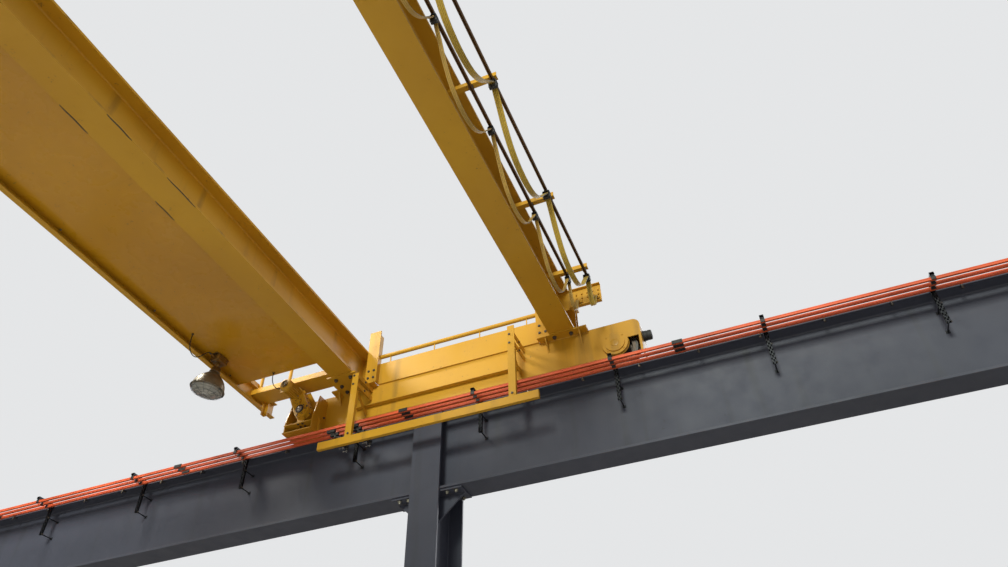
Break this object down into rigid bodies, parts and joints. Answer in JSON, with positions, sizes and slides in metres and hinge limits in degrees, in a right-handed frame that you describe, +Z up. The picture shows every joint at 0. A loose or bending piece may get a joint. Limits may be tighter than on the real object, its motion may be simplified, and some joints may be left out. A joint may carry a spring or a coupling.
{
  "type": "overhead bridge crane",
  "caption": "Top running double girder bridge crane with walk, drives, festoon and trolley, on its runway beams and columns.",
  "frame": {"origin": "on the floor, midway between the two rails and at the middle columns", "axes": "+X along the bridge to the conductor bar side, +Y along the runway to the drive side, +Z up"},
  "size_m": [13.08, 15.62, 7.979],
  "materials": {
    "crane_yellow": "semi-gloss safety yellow paint",
    "slate_paint": "matt slate grey paint",
    "rail_steel": "rolled steel, bright where wheels run",
    "galvanised_strut": "galvanised perforated strut",
    "bar_orange": "orange insulating cover",
    "black_plastic": "black moulded plastic",
    "black_steel": "black painted steel",
    "wheel_steel": "dark forged steel, bright tread",
    "flat_cable": "yellow flat cable",
    "black_lead": "black rubber lead",
    "light_housing": "spun aluminium",
    "hoist_grey": "dark grey paint",
    "wire_rope": "greased wire rope"
  },
  "bodies": {
    "runway": {"east_columns": "slate_paint", "west_columns": "slate_paint", "base_plates": "slate_paint", "east_runway_beams": "slate_paint", "west_runway_beams": "slate_paint", "runway_rails": "rail_steel", "end_stops": "slate_paint", "conductor_brackets": "galvanised_strut", "conductor_bars": "bar_orange", "joint_covers": "black_plastic"},
    "bridge": {"north_girder": "crane_yellow", "south_girder": "crane_yellow", "trolley_rails": "rail_steel", "east_end_truck": "crane_yellow", "west_end_truck": "crane_yellow", "end_ties": "crane_yellow", "walk_deck": "crane_yellow", "walk_channel": "crane_yellow", "walk_ends": "crane_yellow", "handrail": "crane_yellow", "handrail_ends": "crane_yellow", "work_lights": "light_housing", "east_light_lead": "black_lead", "west_light_lead": "black_lead", "drive_brackets": "crane_yellow", "gearboxes": "crane_yellow", "drive_motors": "crane_yellow", "east_motor_lead": "black_lead", "west_motor_lead": "black_lead", "collector_frame": "crane_yellow", "collectors": "black_plastic", "festoon_arms": "crane_yellow", "festoon_tracks": "black_steel", "festoon_carriers": "black_steel", "festoon_end_clamp": "crane_yellow", "festoon_cable_inner": "flat_cable", "festoon_cable_outer": "flat_cable", "trolley_frame": "crane_yellow", "hoist_drum": "hoist_grey", "hoist_machinery": "hoist_grey", "hoist_ropes": "wire_rope", "hook_block": "black_steel", "hook": "black_steel"},
    "wheel_north_east": {"wheel_north_east": "wheel_steel"},
    "wheel_south_east": {"wheel_south_east": "wheel_steel"},
    "wheel_north_west": {"wheel_north_west": "wheel_steel"},
    "wheel_south_west": {"wheel_south_west": "wheel_steel"}
  },
  "joints": [
    {"name": "bridge_travel", "type": "slide", "parent": "runway", "child": "bridge", "axis": [0, 1, 0], "range_m": [-4.997, 5.597]},
    {"name": "wheel_north_east_spin", "type": "hinge", "parent": "bridge", "child": "wheel_north_east", "pos_m": [6, 1.55, 6.5153], "axis": [1, 0, 0], "range_deg": [-1605, 1433]},
    {"name": "wheel_south_east_spin", "type": "hinge", "parent": "bridge", "child": "wheel_south_east", "pos_m": [6, -2.15, 6.5153], "axis": [1, 0, 0], "range_deg": [-1605, 1433]},
    {"name": "wheel_north_west_spin", "type": "hinge", "parent": "bridge", "child": "wheel_north_west", "pos_m": [-6, 1.55, 6.5153], "axis": [1, 0, 0], "range_deg": [-1605, 1433]},
    {"name": "wheel_south_west_spin", "type": "hinge", "parent": "bridge", "child": "wheel_south_west", "pos_m": [-6, -2.15, 6.5153], "axis": [1, 0, 0], "range_deg": [-1605, 1433]}
  ],
  "couplings": [
    {"joint": "wheel_north_east_spin", "follows": "bridge_travel", "rad_per_m": -5},
    {"joint": "wheel_south_east_spin", "follows": "bridge_travel", "rad_per_m": -5},
    {"joint": "wheel_north_west_spin", "follows": "bridge_travel", "rad_per_m": -5},
    {"joint": "wheel_south_west_spin", "follows": "bridge_travel", "rad_per_m": -5}
  ]
}
